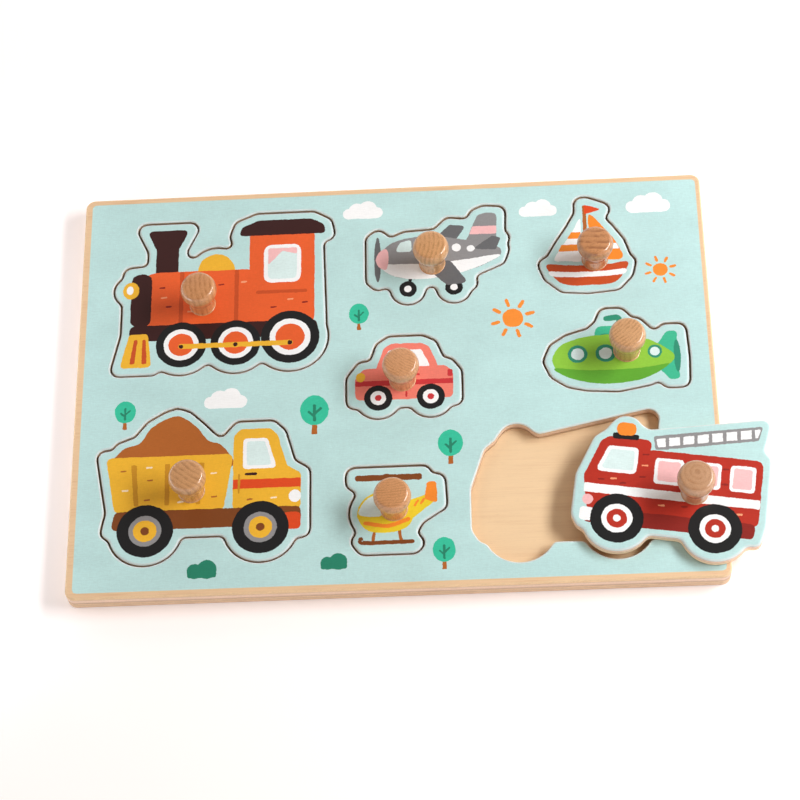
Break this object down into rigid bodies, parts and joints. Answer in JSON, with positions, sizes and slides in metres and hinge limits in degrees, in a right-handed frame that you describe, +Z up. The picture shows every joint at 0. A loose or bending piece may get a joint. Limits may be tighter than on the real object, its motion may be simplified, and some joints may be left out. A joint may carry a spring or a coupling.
{
  "type": "peg puzzle",
  "caption": "Flat plywood puzzle board with shaped cut-outs and printed pieces that lift out by turned wooden pegs; a loose piece lies half over its empty cut-out.",
  "frame": {"origin": "centre of the board's flat underside, where it rests on a table", "axes": "+X along the board's length to the right, +Y across it and away, +Z up through the pegs"},
  "size_m": [0.3225, 0.211, 0.0332],
  "materials": {
    "printed_mint": "mint print on birch plywood, satin",
    "birch_plywood": "bare birch plywood, sanded",
    "turned_beech": "turned beech, clear gloss varnish",
    "locomotive_print": "printed birch plywood, satin",
    "aeroplane_print": "printed birch plywood, satin",
    "sailboat_print": "printed birch plywood, satin",
    "car_print": "printed birch plywood, satin",
    "submarine_print": "printed birch plywood, satin",
    "lorry_print": "printed birch plywood, satin",
    "helicopter_print": "printed birch plywood, satin",
    "fire_engine_print": "printed birch plywood, satin"
  },
  "bodies": {
    "board": {"cutout_plate": "printed_mint", "backing_plate": "birch_plywood"},
    "locomotive": {"locomotive_plate": "locomotive_print", "locomotive_peg": "turned_beech"},
    "aeroplane": {"aeroplane_plate": "aeroplane_print", "aeroplane_peg": "turned_beech"},
    "sailboat": {"sailboat_plate": "sailboat_print", "sailboat_peg": "turned_beech"},
    "car": {"car_plate": "car_print", "car_peg": "turned_beech"},
    "submarine": {"submarine_plate": "submarine_print", "submarine_peg": "turned_beech"},
    "lorry": {"lorry_plate": "lorry_print", "lorry_peg": "turned_beech"},
    "helicopter": {"helicopter_plate": "helicopter_print", "helicopter_peg": "turned_beech"},
    "fire_engine": {"fire_engine_plate": "fire_engine_print", "fire_engine_peg": "turned_beech"}
  },
  "joints": [
    {"name": "locomotive_lift", "type": "slide", "parent": "board", "child": "locomotive", "axis": [0, 0, 1], "range_m": [0, 0.04]},
    {"name": "aeroplane_lift", "type": "slide", "parent": "board", "child": "aeroplane", "axis": [0, 0, 1], "range_m": [0, 0.04]},
    {"name": "sailboat_lift", "type": "slide", "parent": "board", "child": "sailboat", "axis": [0, 0, 1], "range_m": [0, 0.04]},
    {"name": "car_lift", "type": "slide", "parent": "board", "child": "car", "axis": [0, 0, 1], "range_m": [0, 0.04]},
    {"name": "submarine_lift", "type": "slide", "parent": "board", "child": "submarine", "axis": [0, 0, 1], "range_m": [0, 0.04]},
    {"name": "lorry_lift", "type": "slide", "parent": "board", "child": "lorry", "axis": [0, 0, 1], "range_m": [0, 0.04]},
    {"name": "helicopter_lift", "type": "slide", "parent": "board", "child": "helicopter", "axis": [0, 0, 1], "range_m": [0, 0.04]},
    {"name": "fire_engine_lift", "type": "slide", "parent": "board", "child": "fire_engine", "axis": [0, 0, 1], "range_m": [0, 0.04]}
  ]
}
